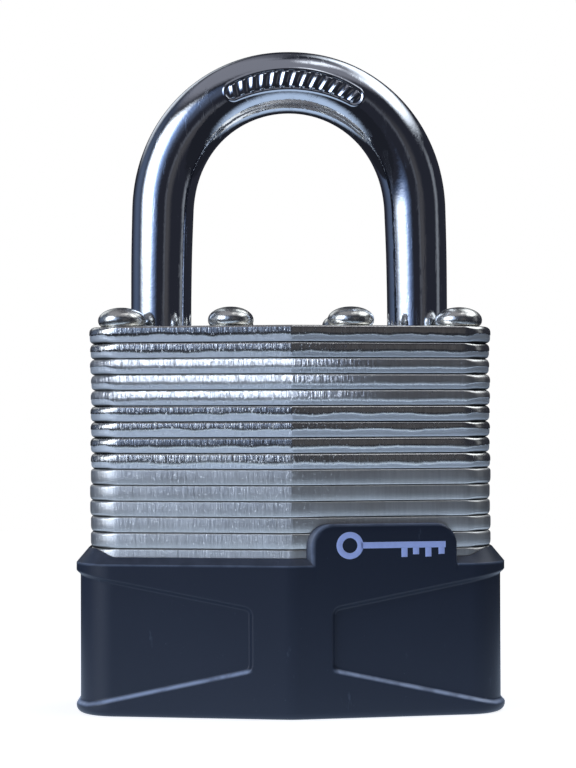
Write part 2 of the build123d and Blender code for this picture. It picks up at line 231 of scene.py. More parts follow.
class Wire:
    # One output of a node. Sums and products of wires and numbers add Math nodes.
    def __init__(self, tree, socket=None):
        self.tree, self.socket = tree, socket

    def node(self, kind, settings=None, values=None, output=0):
        made = self.tree.nodes.new("ShaderNode" + kind)
        for name, value in (settings or {}).items():
            if name == "stops":
                ramp = made.color_ramp.elements
                while len(ramp) < len(value):
                    ramp.new(0.5)
                for stop, (place, colour) in zip(ramp, value):
                    stop.position, stop.color = place, (*colour, 1)
            else:
                setattr(made, name, value)
        for key, value in (values or {}).items():
            if isinstance(value, Wire):
                self.tree.links.new(value.socket, made.inputs[key])
            else:
                made.inputs[key].default_value = value
        return Wire(self.tree, made.outputs[output])

    def maths(self, operation, *values):
        return self.node("Math", {"operation": operation}, dict(enumerate(values)))

    def __add__(self, other):
        return self.maths("ADD", self, other)

    def __sub__(self, other):
        return self.maths("SUBTRACT", self, other)

    def __rsub__(self, other):
        return self.maths("SUBTRACT", other, self)

    def __mul__(self, other):
        return self.maths("MULTIPLY", self, other)

    def __truediv__(self, other):
        return self.maths("DIVIDE", self, other)

    __radd__, __rmul__ = __add__, __mul__

    def between(self, low, high):  # 0 at low, 1 at high, smooth between; falls if high < low
        values = {"Value": self, "From Min": low, "From Max": high}
        return self.node("MapRange", {"interpolation_type": "SMOOTHSTEP"}, values)

    def blend(self, a, b):  # colour a where this wire is 0, colour b where it is 1
        settings = {"data_type": "RGBA", "clamp_factor": True}
        a, b = (c if isinstance(c, Wire) else (*c, 1) for c in (a, b))
        return self.node("Mix", settings, {0: self, 6: a, 7: b}, 2)

    def noise(self, scale, detail=2.0, roughness=0.5, stretch=(1, 1, 1), shift=(0, 0, 0)):
        # Noise at scale features per millimetre of the object's own coordinates.
        size = tuple(s * scale / mm for s in stretch)
        place = self.node("Mapping", None, {"Vector": self, "Scale": size, "Location": shift})
        values = {"Vector": place, "Scale": 1.0, "Detail": detail, "Roughness": roughness}
        return self.node("TexNoise", None, values)


def newMaterial(name):  # an empty material, and a wire to build it with
    material = bpy.data.materials.new(name)
    material.use_nodes = True
    tree = material.node_tree
    tree.nodes.clear()
    return material, Wire(tree)


def finishMaterial(wire, values):
    # A Principled shader with these values on its sockets.
    shader = wire.node("BsdfPrincipled", None, values)
    output = wire.tree.nodes.new("ShaderNodeOutputMaterial")
    wire.tree.links.new(shader.socket, output.inputs["Surface"])


def objectPlace(wire):  # the object's own coordinates, in metres
    return wire.node("TexCoord", output=3)


def field(wire, name):  # a named number of the mesh
    return wire.node("Attribute", {"attribute_name": name}, output=2)


def bump(wire, height, depth, normal=None):
    # depth is in millimetres, for a height that goes from 0 to 1.
    values = {"Height": height, "Distance": depth * mm, "Strength": 1.0}
    if normal is not None:
        values["Normal"] = normal
    return wire.node("Bump", None, values)


# Soft lights as patches of the sky: where each is, from straight ahead and anticlockwise
# from above, how high, half its width and height, its soft edge in degrees, and its colour.
lights = dict(
    big=dict(side=-59, rise=21, wide=17, high=18, edge=28, brim=13,
             colour=(0.93, 0.97, 1.0), power=3.8),
    halo=dict(side=-50, rise=18, wide=19, high=16, edge=36, brim=18,
              colour=(0.40, 0.58, 1.0), power=2.2),
    upper=dict(side=112, rise=50, wide=50, high=12, edge=26, brim=16,
               colour=(0.90, 0.95, 1.0), power=2.3),
    top=dict(side=-20, rise=69, wide=150, high=20, edge=60, brim=14,
             colour=(0.90, 0.90, 1.0), power=0.30),
    brow=dict(side=52, rise=75, wide=32, high=5, edge=30, brim=9,
              colour=(0.95, 0.97, 1.0), power=1.5),
    bluePatch=dict(side=-14, rise=24, wide=10, high=10, edge=14, brim=14,
                   colour=(0.50, 0.65, 1.0), power=0.14),
    rightLow=dict(side=84, rise=8, wide=6, high=20, edge=12, brim=14,
                  colour=(0.90, 0.95, 1.0), power=0.30),
    middle=dict(side=11, rise=8, wide=2.5, high=18, edge=8, brim=14,
                colour=(0.80, 0.87, 1.0), power=0.10),
    leftGlow=dict(side=-108, rise=6, wide=20, high=34, edge=40, brim=50,
                  colour=(0.44, 0.62, 1.0), power=0.21),
    warmGlow=dict(side=20, rise=2, wide=8, high=16, edge=16, brim=24,
                  colour=(1.0, 0.93, 0.86), power=0.07),
    behind=dict(side=-150, rise=30, wide=16, high=10, edge=24, brim=12,
                colour=(0.90, 0.95, 1.0), power=1.0),
)
room = dict(dark=(0.028, 0.030, 0.042), backdrop=(1.0, 1.0, 1.0))


def makeWorld():
    # The sum of the patches over a dark room, as reflections and surfaces see it, and a plain
    # white backdrop as the camera sees it.
    world = bpy.data.worlds.new("studio")
    world.use_nodes = True
    tree = world.node_tree
    tree.nodes.clear()
    wire = Wire(tree)
    direction = wire.node("TexCoord", output=0)
    x, y, z = (direction.node("SeparateXYZ", None, {0: direction}, axis) for axis in range(3))
    degrees = 180 / math.pi
    side = x.maths("ARCTAN2", x, 0 - y) * degrees
    rise = z.maths("ARCSINE", z) * degrees
    total = None
    for light in lights.values():
        turn = side.maths("WRAP", side - light["side"], 180, -180)
        across = turn.maths("ABSOLUTE", turn)
        up = rise.maths("ABSOLUTE", rise - light["rise"])
        wide, high, edge, brim = (light[key] for key in ("wide", "high", "edge", "brim"))
        amount = across.between(wide + edge / 2, wide - edge / 2)
        amount = amount * up.between(high + brim / 2, high - brim / 2) * light["power"]
        glow = amount.node("VectorMath", {"operation": "SCALE"},
                           {0: light["colour"], "Scale": amount})
        if total is None:
            total = glow.node("VectorMath", {"operation": "ADD"}, {0: glow, 1: room["dark"]})
        else:
            total = glow.node("VectorMath", {"operation": "ADD"}, {0: glow, 1: total})
    seen = wire.node("LightPath", output=0)
    lit = wire.node("Background", None, {"Color": total, "Strength": 1.0})
    plain = wire.node("Background", None, {"Color": (*room["backdrop"], 1), "Strength": 1.0})
    shown = wire.node("MixShader", None, {0: seen, 1: lit, 2: plain})
    tree.links.new(shown.socket, tree.nodes.new("ShaderNodeOutputWorld").inputs["Surface"])
    bpy.context.scene.world = world
    bpy.context.scene.view_settings.view_transform = "Standard"


floorLook = dict(
    rings=(360.0, 280.0, 200.0, 120.0, 60.0, 20.0), columns=96,
    paper=(0.50, 0.52, 0.55), white=(0.82, 0.82, 0.83), rim=(1.0, 1.0, 1.0), shade=0.985,
    fade=(40.0, 220.0), near=(0.68, 0.84, 1.08), far=(0.02, 0.022, 0.030), dim=(50.0, 105.0),
)


def makeFloor():
    # A flat disc. The camera sees white paper with soft shadows, and the lock's metal sees
    # only the pale sheet that it stands on, which falls away to a dark room.
    turn = np.linspace(0, 2 * math.pi, floorLook["columns"], endpoint=False)
    radius = np.array(floorLook["rings"])[:, None]
    rings = np.stack([radius * np.cos(turn), radius * np.sin(turn), 0 * radius * turn], -1)
    rows, columns = rings.shape[:2]
    points = np.concatenate([rings.reshape(-1, 3), [[0, 0, 0]]])
    middle = fan(np.arange(columns) + (rows - 1) * columns, rows * columns, True)
    floor = putMesh("floor", points, gridQuads(rows, columns), middle)
    material, wire = newMaterial("paleFloor")
    place = objectPlace(wire)
    away = place.node("VectorMath", {"operation": "LENGTH"}, {0: place}, 1) / mm
    fade = away.between(*floorLook["fade"])
    dim = away.between(*floorLook["dim"])
    grain = place.noise(0.05, 3.0)
    darker = tuple(part * floorLook["shade"] for part in floorLook["paper"])
    paper = grain.blend(darker, floorLook["paper"])
    seen = wire.node("BsdfPrincipled", None, {
        "Base Color": fade.blend(paper, (0, 0, 0)), "Roughness": 0.9,
        "Emission Color": fade.blend(floorLook["white"], floorLook["rim"]),
        "Emission Strength": 1.0, "Specular IOR Level": 0.1,
    })
    mirrored = wire.node("Emission", None, {
        "Color": dim.blend(floorLook["near"], floorLook["far"]), "Strength": 1.0})
    byCamera = wire.node("LightPath", output=0)
    both = wire.node("MixShader", None, {0: byCamera, 1: mirrored, 2: seen})
    output = wire.tree.nodes.new("ShaderNodeOutputMaterial")
    wire.tree.links.new(both.socket, output.inputs["Surface"])
    floor.data.materials.append(material)


plateLook = dict(
    shown=16,               # the plates from the top down to the bumper's rim
    columns=(4, 90, 24, 30, 24, 90, 4),
    rollover=0.36, cornerRoll=0.9, tearInset=0.055, footInset=0.34, cornerFoot=0.5,
    plainRoll=0.6, plainTear=0.4, plainFoot=0.7,   # shares of these where an edge is plain
    # For each row of the foot, its height, its rise at a corner, and its share of the inset.
    footRows=((0.04, 0.06, 0.50), (0.10, 0.14, 0.20), (0.16, 0.20, 0.08)),
    tornRow=(0.45, 0.14, 0.24),      # its share of the tear line, the least, and a corner's rise
    lineLow=0.30, cornerLine=0.25, lineStep=0.05,  # the tear line's lowest height and its rise
    rollAngles=(15, 30, 45, 60, 75, 90), rollShare=0.92,
    # The next two keys set how strongly a painted shade darkens the foot rows and the top rows of
    # the rollover
    dents=0.012, bandReach=0.4, gapShadeLow=(1.0, 1.0, 0.25), gapShadeHigh=(0.5, 1.0),
    shift=0.06, turn=0.12,  # how far out of true a plate sits, with its turn in degrees
    combed=(3, 4, 5), teeth=2.1, comb=0.165,  # combed plates, their teeth per mm and depth
)
# For each plate, the share of its edge that tore, the height of the waves in that line,
# how deep its drag lines are, and how rough its sheared and torn bands are.
plateEdges = {
    1: (0.39, 0.085, 0.012, 0.18, 0.58), 2: (0.345, 0.055, 0.022, 0.20, 0.58),
    3: (0.34, 0.030, 0.030, 0.30, 0.58), 4: (0.31, 0.030, 0.030, 0.30, 0.58),
    5: (0.30, 0.035, 0.030, 0.30, 0.58), 6: (0.41, 0.065, 0.016, 0.20, 0.58),
    7: (0.44, 0.065, 0.020, 0.20, 0.58), 8: (0.33, 0.060, 0.012, 0.19, 0.58),
    9: (0.30, 0.060, 0.030, 0.23, 0.58),
}
plainEdge = (0.09, 0.015, 0.014, 0.38, 0.46)
# The holes in the plates: where the legs stand, and how wide each hole is.
works = dict(
    legX=16.0, legHole=3.85, rivetHole=1.95, washerHole=5.25, pocket=(13.9, 4.1),
    cam=3.3, spindle=1.9, clip=6.4, housing=7.05, bible=(2.45, 11.05),
)
rivetPlaces = [(sx * x, sy * y) for x, y in ((20.5, 6.2), (7.25, 8.3))
               for sx in (-1, 1) for sy in (-1, 1)]
plateNodes = {int(name[-2:]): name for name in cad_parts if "_plate_" in name}
plateNodes[1] = "top_plate"


def circle(x, y, radius, start=0, sweep=2 * math.pi, count=48, whole=True):
    # Points at equal turns about a centre, with both ends of the sweep if it isn't whole.
    angle = start + sweep * np.arange(count) / (count if whole else count - 1)
    return np.stack([x + radius * np.cos(angle), y + radius * np.sin(angle)], -1)


def pocketOutline():
    # The dogs' pocket: a rectangle whose ends open into the two leg holes.
    halfX, halfY = works["pocket"]
    radius = works["legHole"]
    half = math.acos((halfX - works["legX"]) / radius)
    bulge = circle(works["legX"], 0, radius, -half, 2 * half, 40, False)
    right = np.concatenate([[[halfX, -halfY]], bulge, [[halfX, halfY]]])
    return np.concatenate([right, -right])


def housingOutline():
    # The cylinder's round hole with a slot to the rear for its bible.
    halfX, reach = works["bible"]
    half = math.asin(halfX / works["housing"])
    start = math.pi / 2 + half
    arc = circle(0, 0, works["housing"], start, 2 * math.pi - 2 * half, 64, False)
    return np.concatenate([arc, [[halfX, reach], [-halfX, reach]]])


def plateHoles(layer):
    # Rivet holes and the heel's hole in each plate, the dogs' pocket in 4 to 6, the toe's hole
    # down to 8, and in the middle the cam, its spindle, the clip or the housing.
    holes = [circle(x, y, works["rivetHole"], count=32) for x, y in rivetPlaces]
    right = works["washerHole"] if layer == 13 else works["legHole"]
    if 4 <= layer <= 6:
        return holes + [pocketOutline()]
    holes.append(circle(works["legX"], 0, right))
    if layer <= 8:
        holes.append(circle(-works["legX"], 0, works["legHole"]))
    if layer == 7:
        holes.append(circle(0, 0, works["cam"]))
    elif 8 <= layer <= 9:
        holes.append(circle(0, 0, works["spindle"]))
    elif layer == 10:
        holes.append(circle(0, 0, works["clip"]))
    elif layer > 10:
        holes.append(housingOutline())
    return holes


def closeFaces(mesh, levels):
    # Fills between the open edges at each height, leaving the holes open.
    near = 0.01 * mm
    work = bmesh.new()
    work.from_mesh(mesh)
    rims = [edge for edge in work.edges if edge.is_boundary]
    for level, up in levels:
        ring = [e for e in rims if all(abs(v.co.z - level * mm) < near for v in e.verts)]
        made = bmesh.ops.triangle_fill(work, use_beauty=True, edges=ring, normal=(0, 0, up))
        for face in (g for g in made["geom"] if isinstance(g, bmesh.types.BMFace)):
            if face.normal.z * up < 0:
                face.normal_flip()
            face.smooth = False
    work.to_mesh(mesh)
    work.free()


def makePlate(layer):
    # The outline, moved inwards by a profile that rises from the foot through the torn band
    # to the sheared band and rolls over at the top. The line between the bands is a ripple.
    look, plain = plateLook, layer not in plateEdges
    share, wave, drag, glossy, matt = plateEdges.get(layer, plainEdge)
    rng = np.random.default_rng(layer)
    over = lock["topOverhang"] if layer == 1 else 0
    outline = lockOutline(lock["width"] + 2 * over, lock["depth"] + 2 * over,
                          lock["corner"], lock["ridge"])
    place, normal = outline(spread(look["columns"] * 2))
    turn = np.arange(len(place)) / len(place)
    low, high = plateBottom(layer), plateTop(layer)
    deep = high - low
    corner = smooth((np.abs(normal[:, 0]) - 0.2) / 0.4)
    roll = look["rollover"] * (look["plainRoll"] if plain else 1)
    roll = roll * (1 + look["cornerRoll"] * corner)
    tear = look["tearInset"] * (look["plainTear"] if plain else 1)
    foot = look["footInset"] * (look["plainFoot"] if plain else 1)
    foot = foot * (1 + look["cornerFoot"] * corner)
    line = deep * share + wave * (ripple(turn, layer, 6, 26, 0.4)
                                  + 0.5 * ripple(turn, layer + 50, 30, 140, 0.2))
    line = np.clip(line, look["lineLow"], deep - roll - look["cornerLine"] * (1 + corner))
    tearLine, step = line + look["cornerLine"] * corner, look["lineStep"]
    tornShare, tornLow, tornCorner = look["tornRow"]
    angle = np.radians(look["rollAngles"])
    flat = np.ones_like(line)
    heights = [0 * flat] + [rise + more * corner for rise, more, _ in look["footRows"]]
    heights += [np.maximum(tornShare * line, tornLow) + tornCorner * corner + step,
                tearLine - step, tearLine, tearLine + step,
                mix(tearLine + step, deep - roll, 0.5), deep - roll]
    heights += [deep - roll + roll * s for s in np.sin(angle)]
    insets = [foot] + [tear + part * (foot - tear) for _, _, part in look["footRows"]]
    insets += [tear, tear, 0.7 * tear, 0, 0, 0]
    insets += [look["rollShare"] * roll * (1 - c) for c in np.cos(angle)]
    heights = np.array(heights)
    insets = np.array([inset * flat for inset in insets])
    dents = look["dents"] * ripple(turn, layer + 90, 3, 60, 0.5)
    insets = insets + np.abs(dents) * np.linspace(1, 0.3, len(insets))[:, None]
    xy = place - insets[..., None] * normal
    rings = np.concatenate([xy, (low + heights)[..., None]], -1)
    band = np.clip(heights - tearLine, -look["bandReach"], look["bandReach"])
    # Painted shade: the foot rows are made near black, and below the top plate so are the top rows
    # of the rollover. This stands in for the shade in the gaps between plates.
    seam = np.zeros(len(insets))
    seam[:3] = look["gapShadeLow"]
    if layer > 1:
        seam[-2:] = look["gapShadeHigh"]
    seam = seam[:, None] * flat
    points, quads = [rings.reshape(-1, 3)], [gridQuads(*rings.shape[:2])]
    bands, gapShades = [band.ravel()], [seam.ravel()]
    count = len(points[0])
    for hole in plateHoles(layer):
        ring = hole[::-1]
        wall = np.concatenate([np.insert(ring, 2, h, 1) for h in (low, high)])
        points.append(wall)
        quads.append(gridQuads(2, len(ring), first=count))
        bands.append(np.ones(len(wall)))
        gapShades.append(np.zeros(len(wall)))
        count += len(wall)
    plate = putMesh(f"plate{layer:02d}", np.concatenate(points), np.concatenate(quads),
                    None, {"band": np.concatenate(bands), "seam": np.concatenate(gapShades)})
    closeFaces(plate.data, ((low, -1), (high, 1)))
    shift = rng.uniform(-1, 1, 2) * look["shift"]
    spin = math.radians(rng.uniform(-1, 1) * look["turn"])
    seat = Matrix.Translation((shift[0] * mm, shift[1] * mm, 0)) @ Matrix.Rotation(spin, 4, "Z")
    plate.data.transform(seat)
    plate.data.materials.append(steelEdge(layer, drag, glossy, matt, plain))
    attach(plate, "lock_body")
    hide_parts(plateNodes[layer])


steelLook = dict(
    sheared=((0.56, 0.55, 0.52), (0.84, 0.83, 0.79)), torn=((0.62, 0.65, 0.68), (0.90, 0.93, 0.95)),
    # The near black below is the colour of the painted shade in the gaps between the plates.
    speck=(0.92, 0.92, 0.90), paintedCombHighlight=(0.97, 0.97, 0.96), seam=(0.012, 0.012, 0.012),
    lines=2.6, fine=9.0, grain=11.0, specks=4.2, patches=0.11, ragged=3.2,  # for each mm
    dragAndSheenFade=(-1, 14), dragAndSheenShare=0.75,   # the drag lines, and a painted highlight that makes the specks and comb teeth lighter on the left flank, fade between these x, by this share
    dragDepth=3.2, grainDepth=0.012,
)


def steelEdge(layer, drag, glossy, matt, plain):
    # Zinc plated steel: drag lines up and down the sheared band, and a grainy torn band.
    material, wire = newMaterial(f"plateSteel{layer:02d}")
    look, place = steelLook, objectPlace(wire)
    shift = (layer * 3.7, layer * 1.3, 0)
    if plain:
        band = place.noise(0.2, 2.0, shift=shift).between(0.2, 0.9) * 0.3 + 0.7
    else:
        ragged = place.noise(look["ragged"], 3.0, 0.6, shift=shift) - 0.5
        band = (field(wire, "band") + ragged * 0.30).between(-0.04, 0.04)
    across = place.node("SeparateXYZ", None, {0: place}) / mm
    # Real drag lines and a painted highlight share this mask: it is 1 on the left flank and falls
    # to a quarter on the right flank.
    dragAndLeftSheen = 1 - across.between(*look["dragAndSheenFade"]) * look["dragAndSheenShare"]
    lines = place.noise(look["lines"], 3.0, 0.6, (1, 1, 0.10), shift)
    fine = place.noise(look["fine"], 2.0, 0.6, (1, 1, 0.12), shift)
    grain = place.noise(look["grain"], 3.0, 0.7, (1, 1, 1), shift)
    specks = place.noise(look["specks"], 2.0, 0.5, (1, 1, 0.7), shift).between(0.60, 0.74)
    smear = place.noise(look["patches"], 2.0, 0.5, (1, 1, 0.3), shift).between(0.35, 0.65)
    # Painted highlight: the pale specks are lightest on the left flank, where the light falls, and
    # fade towards the right.
    sheared = (specks * dragAndLeftSheen * 0.6).blend(lines.blend(*look["sheared"]), look["speck"])
    colour = band.blend(grain.blend(*look["torn"]), sheared)
    # Painted shade: the gaps between the shown plates are darkened to near black.
    if layer <= plateLook["shown"]:
        colour = (field(wire, "seam") * 0.93).blend(colour, look["seam"])
    rough = matt + (grain - 0.5) * 0.25
    gloss = glossy + (fine - 0.5) * 0.16 + smear * 0.05 + specks * dragAndLeftSheen * 0.18
    roughness = rough + band * (gloss - rough)
    dragged = bump(wire, (lines + fine * 0.35 + specks * 0.30) * dragAndLeftSheen, drag * look["dragDepth"])
    if layer in plateLook["combed"]:
        comb = across * plateLook["teeth"] + lines * 0.7
        teeth = comb.maths("FRACT", comb)
        # Painted highlight: on the combed plates the sheared band is lightened to near white, most
        # on the left flank. This stands in for the light that those plates reflect.
        colour = (band * dragAndLeftSheen * 0.7).blend(colour, look["paintedCombHighlight"])
        dragged = bump(wire, teeth * dragAndLeftSheen * band, plateLook["comb"], dragged)
    normal = bump(wire, grain * (1 - band), look["grainDepth"], dragged)
    finishMaterial(wire, {"Base Color": colour, "Metallic": 1.0, "Roughness": roughness,
                          "Normal": normal})
    return material


rivetLook = dict(
    shank=1.9, tail=2.8, countersink=0.9, neck=2.3, head=2.82, widest=0.8, height=2.38,
    wobble=0.03, lean=1.6, columns=72, tone=((0.68, 0.67, 0.62), (0.86, 0.86, 0.82)), dimple=0.10,
)


def makeRivets():
    # A countersunk tail, a straight shank and a head of two quarter ellipses that meet at
    # its widest height, spun round the rivet's own axis, each head a little out of true.
    top, bottom = plateTop(1), plateBottom(24)
    under = np.radians(np.linspace(-90, 0, 9))
    over = np.radians(np.linspace(6, 88, 18))
    r = rivetLook
    bulge = r["head"] - r["neck"]
    radii = [r["tail"], r["shank"], r["shank"], *(r["neck"] + bulge * np.cos(under)),
             *(r["head"] * np.cos(over) ** 0.94)]
    rise = r["height"] - r["widest"]
    z = [bottom, bottom + r["countersink"], top - 0.02,
         *(top + r["widest"] * (1 + np.sin(under))), *(top + r["widest"] + rise * np.sin(over))]
    radii, z = np.array(radii)[:, None], np.array(z)[:, None]
    angle = np.linspace(0, 2 * math.pi, r["columns"], endpoint=False)
    rng = np.random.default_rng(4)
    inHead = smooth((z - top) / 0.3)
    solids = []
    for x, y in rivetPlaces:
        wobble, phase, tilt, toward = rng.uniform(-1, 1, 4)
        oval = 1 + r["wobble"] * wobble * np.cos(2 * angle + 3 * phase) * inHead
        lean = math.tan(math.radians(r["lean"] * tilt))
        px = x + radii * oval * np.cos(angle)
        py = y + radii * oval * np.sin(angle)
        drop = lean * ((px - x) * math.cos(3 * toward) + (py - y) * math.sin(3 * toward))
        pz = z + inHead * np.minimum(drop, 0)
        solids.append(np.stack([px, py, pz + 0 * px], -1))
    rivets = joinSolids("domedRivets", solids)
    material, wire = newMaterial("rivetNickel")
    place = objectPlace(wire)
    cloud = place.noise(0.5, 3.0)
    pits = place.noise(2.2, 3.0, 0.6)
    roughness = 0.20 + cloud * 0.10 + pits.between(0.62, 0.75) * 0.25
    normal = bump(wire, cloud + pits * 0.25, r["dimple"])
    finishMaterial(wire, {"Base Color": cloud.blend(*r["tone"]), "Metallic": 1.0,
                          "Roughness": roughness, "Normal": normal})
    rivets.data.materials.append(material)
    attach(rivets, "lock_body")
    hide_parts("rivets")


rod = dict(
    radius=3.75, legX=16.0, archZ=61.70, toeZ=32.15, toeChamfer=0.8,
    footZ=(3.05, 5.90), foot=3.55, neck=2.2, neckTop=25.95, notchZ=(35.15, 41.05), flat=13.95,
    bodyTop=46.9, columns=192, crowd=0.6, tone=((0.54, 0.57, 0.62), (0.62, 0.65, 0.70)),
    bendRange=(-14, 36, 501), ease=31,
    bendAt=(-12, -6, -1, 1.4, 5.6, 8.4, 12.6, 16.8, 21.0, 25.1),
    bendOut=(0, -0.02, -0.12, -0.20, -0.16, -0.10, 0.0, 0.05, 0.05, -0.02),
    bendIn=(0, -0.10, -0.28, -0.40, -0.40, -0.35, -0.24, -0.18, -0.14, -0.13),
)
# A sunk field with a raised rim on the front of the arch, filled with slanted ribs.
stamp = dict(
    centre=2.2, halfAngle=32.0, line=16.55, across=-0.09, halfWidth=1.22, pinch=0.25,
    depth=0.12, rim=0.06, rib=0.22, pitch=1.36, ribHalf=0.30, slant=0.32, soft=0.13,
)


def stampRelief(theta, delta):
    # Distance from the edge of a bowed slot gives the field's depth and its raised rim, and
    # a repeated distance along the slot, sheared by the slant, gives the ribs.
    a = stamp["line"] * (math.pi / 2 - theta - math.radians(stamp["centre"]))
    b = rod["radius"] * delta - stamp["across"]
    reach = stamp["line"] * math.radians(stamp["halfAngle"])
    half = stamp["halfWidth"] - stamp["pinch"] * (a / reach) ** 2
    inside = half - np.hypot(np.maximum(np.abs(a) - (reach - half), 0), b)
    soft = stamp["soft"]
    sunk = -stamp["depth"] * smooth(inside / (1.6 * soft))
    rim = stamp["rim"] * np.exp(-((inside + 0.5 * soft) / soft) ** 2)
    pitch = stamp["pitch"]
    along = a - b * stamp["slant"]
    cell = np.abs((along + pitch / 2) % pitch - pitch / 2)
    ribs = np.exp(-(cell / stamp["ribHalf"]) ** 2) * smooth((inside - 0.12) / (1.8 * soft))
    return sunk + rim + stamp["rib"] * ribs


def bendShift(along):
    # How far the bent rod's outer and inner sides stand from a true half circle, from the
    # distance along the rod since the leg's end, eased by two running means.
    line = np.linspace(*rod["bendRange"])
    mirrored = np.minimum(line, 2 * rod["bendAt"][-1] - line)
    window = np.ones(rod["ease"]) / rod["ease"]
    sides = []
    for side in ("bendOut", "bendIn"):
        eased = np.interp(mirrored, rod["bendAt"], rod[side])
        for _ in range(2):
            padded = np.pad(eased, rod["ease"] // 2, mode="edge")
            eased = np.convolve(padded, window, mode="valid")
        sides.append(np.interp(along, line, eased))
    return sides


def makeShackle():
    # Circles carried up the heel, round the arch and down the toe. Each is narrowed at the
    # foot, neck and toe, and flattened on its inner side in the notches.
    u = np.linspace(0, 2 * math.pi, rod["columns"], endpoint=False)
    delta = u - rod["crowd"] * np.sin(u)
    full, lowFoot, highFoot = rod["radius"], *rod["footZ"]
    notchLow, notchHigh = rod["notchZ"]
    cut, gap = rod["toeChamfer"], 0.005
    leg = [(notchLow - gap, full, 0), (notchLow, full, 1), (mix(notchLow, notchHigh, 0.5), full, 1),
           (notchHigh, full, 1), (notchHigh + gap, full, 0)]
    leg += [(z, full, 0) for z in np.linspace(rod["bodyTop"], rod["archZ"] - 0.6, 24)]
    heel = [(lowFoot, rod["foot"] - 0.3, 0), (lowFoot + 0.3, rod["foot"], 0),
            (highFoot - 0.3, rod["foot"], 0), (highFoot, rod["foot"] - 0.3, 0),
            (highFoot + gap, rod["neck"], 0), (rod["neckTop"] - gap, rod["neck"], 0),
            (rod["neckTop"], full - 0.4, 0), (rod["neckTop"] + 0.4, full, 0)] + leg
    toe = [(rod["toeZ"], full - cut, 0), (rod["toeZ"] + cut, full, 0)] + leg
    middle = math.pi / 2 - math.radians(stamp["centre"])
    half = math.radians(stamp["halfAngle"] + 1.5)
    theta = np.concatenate([np.linspace(0, middle - half, 44, endpoint=False),
                            np.linspace(middle - half, middle + half, 240, endpoint=False),
                            np.linspace(middle + half, math.pi, 44)])

    def legRings(rows, side):
        z, radius, flat = (np.array(c)[:, None] for c in zip(*rows))
        e1 = side * np.sin(delta)
        x = side * rod["legX"] + radius * e1
        far, near = bendShift(z - rod["archZ"])
        x = x + side * mix(near, far, (1 + side * e1) / 2)
        kept = np.maximum(side * x, rod["flat"]) * side
        x = np.where(flat > 0, kept, x)
        return np.stack([x, -radius * np.cos(delta) + 0 * x, z + 0 * x], -1)

    turned, bend = theta[:, None], delta[None, :]
    far, near = bendShift(rod["legX"] * np.minimum(turned, math.pi - turned))
    radius = full + stampRelief(turned, (bend + math.pi) % (2 * math.pi) - math.pi)
    outward = rod["legX"] + mix(near, far, (1 + np.sin(bend)) / 2) + radius * np.sin(bend)
    arch = np.stack([outward * np.cos(turned), -radius * np.cos(bend),
                     rod["archZ"] + outward * np.sin(turned)], -1)
    rings = np.concatenate([legRings(heel, 1), arch, legRings(toe[::-1], -1)])
    points, quads, ends = closedTube(rings)
    shackle = putMesh("chromeShackle", points, quads, ends, None, 35.0)
    material, wire = newMaterial("shackleChrome")
    place = objectPlace(wire)
    cloud = place.noise(0.12, 3.0)
    # On the shackle this noise marks rubbed patches, which change only roughness and bumps.
    rubsAndPaintedSheen = place.noise(0.9, 4.0, 0.65)
    fine = place.noise(6.0, 3.0, 0.6)
    scratches = place.noise(1.2, 2.0, 0.5, (1, 1, 0.16)).between(0.60, 0.64)
    roughness = 0.035 + rubsAndPaintedSheen.between(0.45, 0.8) * 0.05 + scratches * 0.10 + fine * 0.015
    normal = bump(wire, rubsAndPaintedSheen + scratches * 0.25 + fine * 0.05, 0.014)
    finishMaterial(wire, {"Base Color": cloud.blend(*rod["tone"]), "Metallic": 1.0,
                          "Roughness": roughness, "Normal": normal})
    shackle.data.materials.append(material)
    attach(shackle, "shackle")
    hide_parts("shackle")


cup = dict(
    width=52.3, depth=26.8, corner=5.4, ridge=6.0, gap=0.05, floor=1.05, under=0.9, rim=18.2,
    bevel=0.85, endBevel=1.8, windowRadius=5.2,
    recess=0.5, ledge=0.62, innerX=4.65, innerZ=(5.55, 13.3), outerX=27.6, outerZ=(0.40, 17.6),
    round=1.0, tabX=(2.5, 20.0), tabTop=23.1, tabRound=2.6, tabEdge=0.28,
    columns=(5, 64, 30, 16, 30, 64, 5),
    tabSteps=(0.002, 0.1, 0.2, 0.3, 0.5, 0.75, 1.0, 1.3, 1.6, 2.0, 2.3),  # in from its sides
    ledgeSteps=(-0.1, 1.2, 14), ledgeRows=(-0.08, 9), panelRows=(0.12, 0.25, 0.4, 0.6),
    rimRows=(0, 0.03, 0.08, 0.2, 0.35, 0.5, 0.65, 0.8, 0.92, 0.97, 1.0),
    tone=((0.0105, 0.0150, 0.0280), (0.0140, 0.0200, 0.0375)),
    # scuffed is the colour of real scuffs and dust; the colour after it is a painted highlight.
    scuffed=(0.10, 0.12, 0.17), paintedHighlight=(0.36, 0.43, 0.58), gleam=0.38,
)


def tabHeight(x):
    # The top of a rectangle with two round corners.
    low, high = cup["tabX"]
    radius = cup["tabRound"]
    near = np.clip(radius - np.minimum(x - low, high - x), 0, radius)
    return cup["tabTop"] - radius + np.sqrt(radius ** 2 - near ** 2)


def tabInset(x, z):
    # The tab's edge is cut back at 45 degrees where a point is near its outline.
    low, high = cup["tabX"]
    radius = cup["tabRound"]
    dx = np.minimum(x - low, high - x)
    dz = cup["tabTop"] - z
    qx, qz = np.maximum(radius - dx, 0), np.maximum(radius - dz, 0)
    inside = np.where((qx > 0) & (qz > 0), radius - np.hypot(qx, qz), np.minimum(dx, dz))
    return np.clip(cup["tabEdge"] - inside, 0, cup["tabEdge"])


